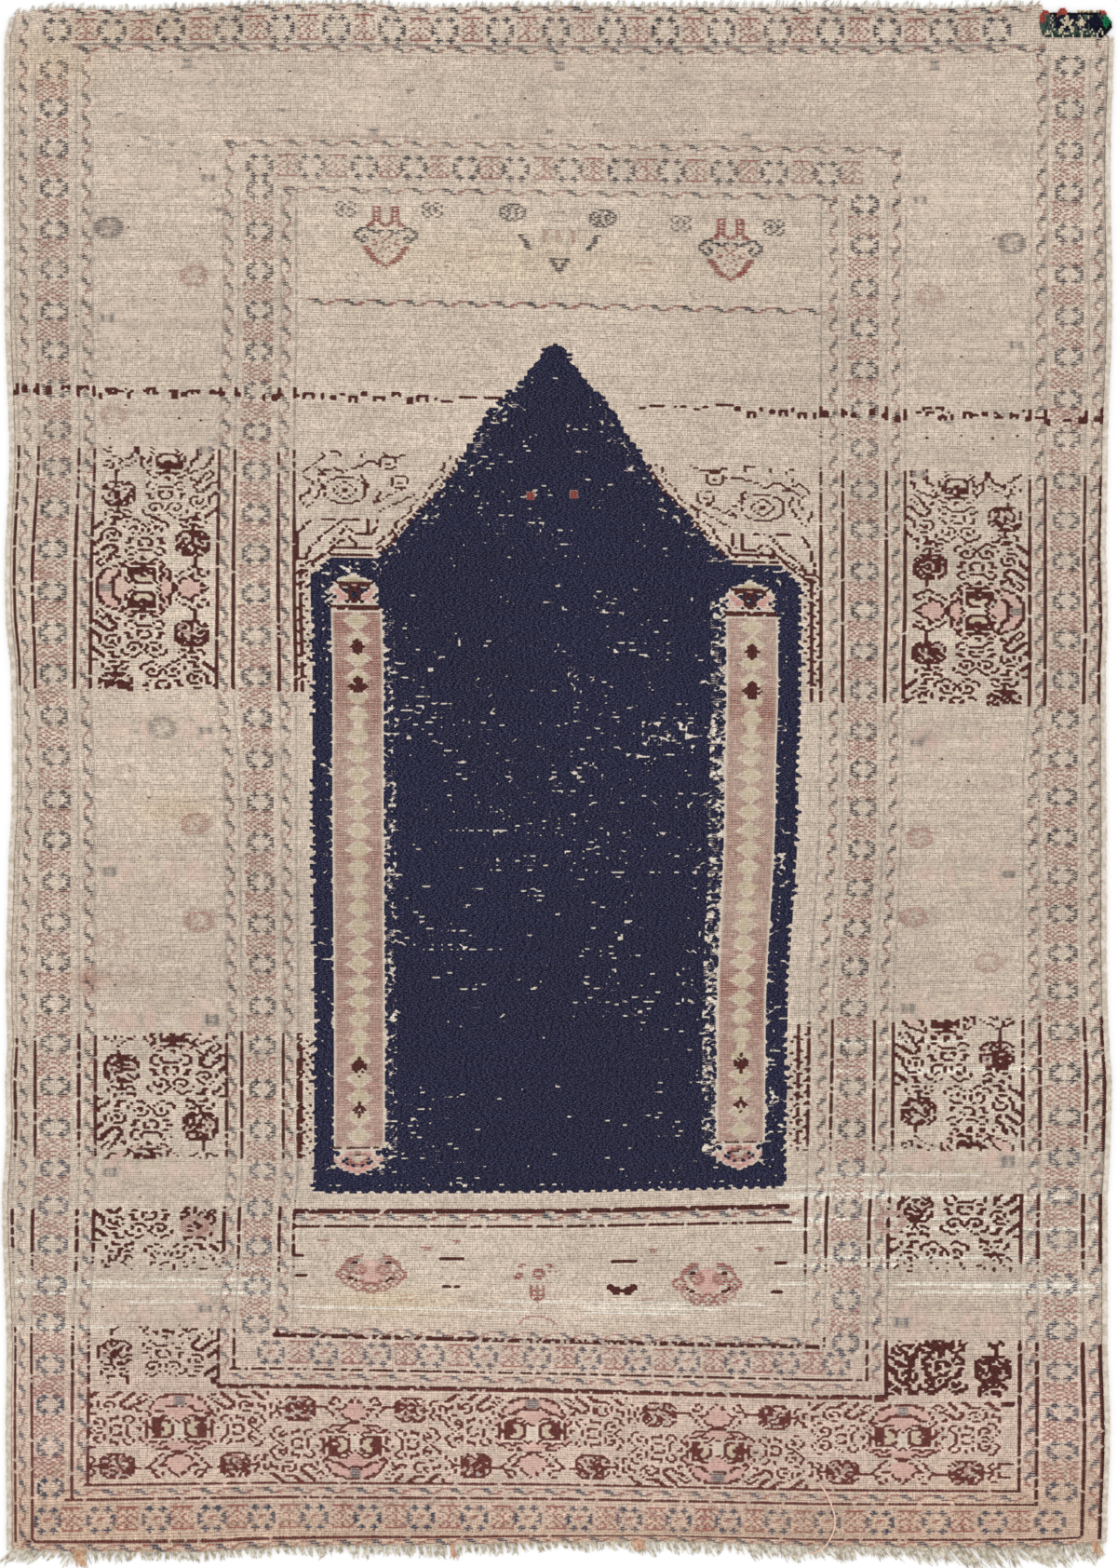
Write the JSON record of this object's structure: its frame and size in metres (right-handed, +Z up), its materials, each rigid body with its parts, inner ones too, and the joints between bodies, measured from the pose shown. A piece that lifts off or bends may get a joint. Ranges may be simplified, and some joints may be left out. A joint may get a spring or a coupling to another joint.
{
  "type": "hand-knotted prayer rug",
  "caption": "Worn hand-knotted wool prayer rug lying flat, with a dark blue gabled niche between two slim columns, striped borders, overcast sides and frayed ends.",
  "frame": {"origin": "on the floor under the middle of the whole rug, fringes included", "axes": "+X across the rug to the right, +Y along the rug towards the point of the niche, +Z up off the floor"},
  "size_m": [1.1956, 1.6874, 0.0045],
  "materials": {
    "knotted_wool": "matt worn wool pile",
    "overcast_wool": "matt wrapped wool yarn",
    "warp_ends": "matt loose twisted yarn",
    "patch_wool": "matt wool pile"
  },
  "bodies": {
    "root": {"rug_cloth": "knotted_wool", "selvedge_left": "overcast_wool", "selvedge_right": "overcast_wool", "fringe_bottom": "warp_ends", "fringe_top": "warp_ends", "corner_patch": "patch_wool"}
  },
  "joints": []
}
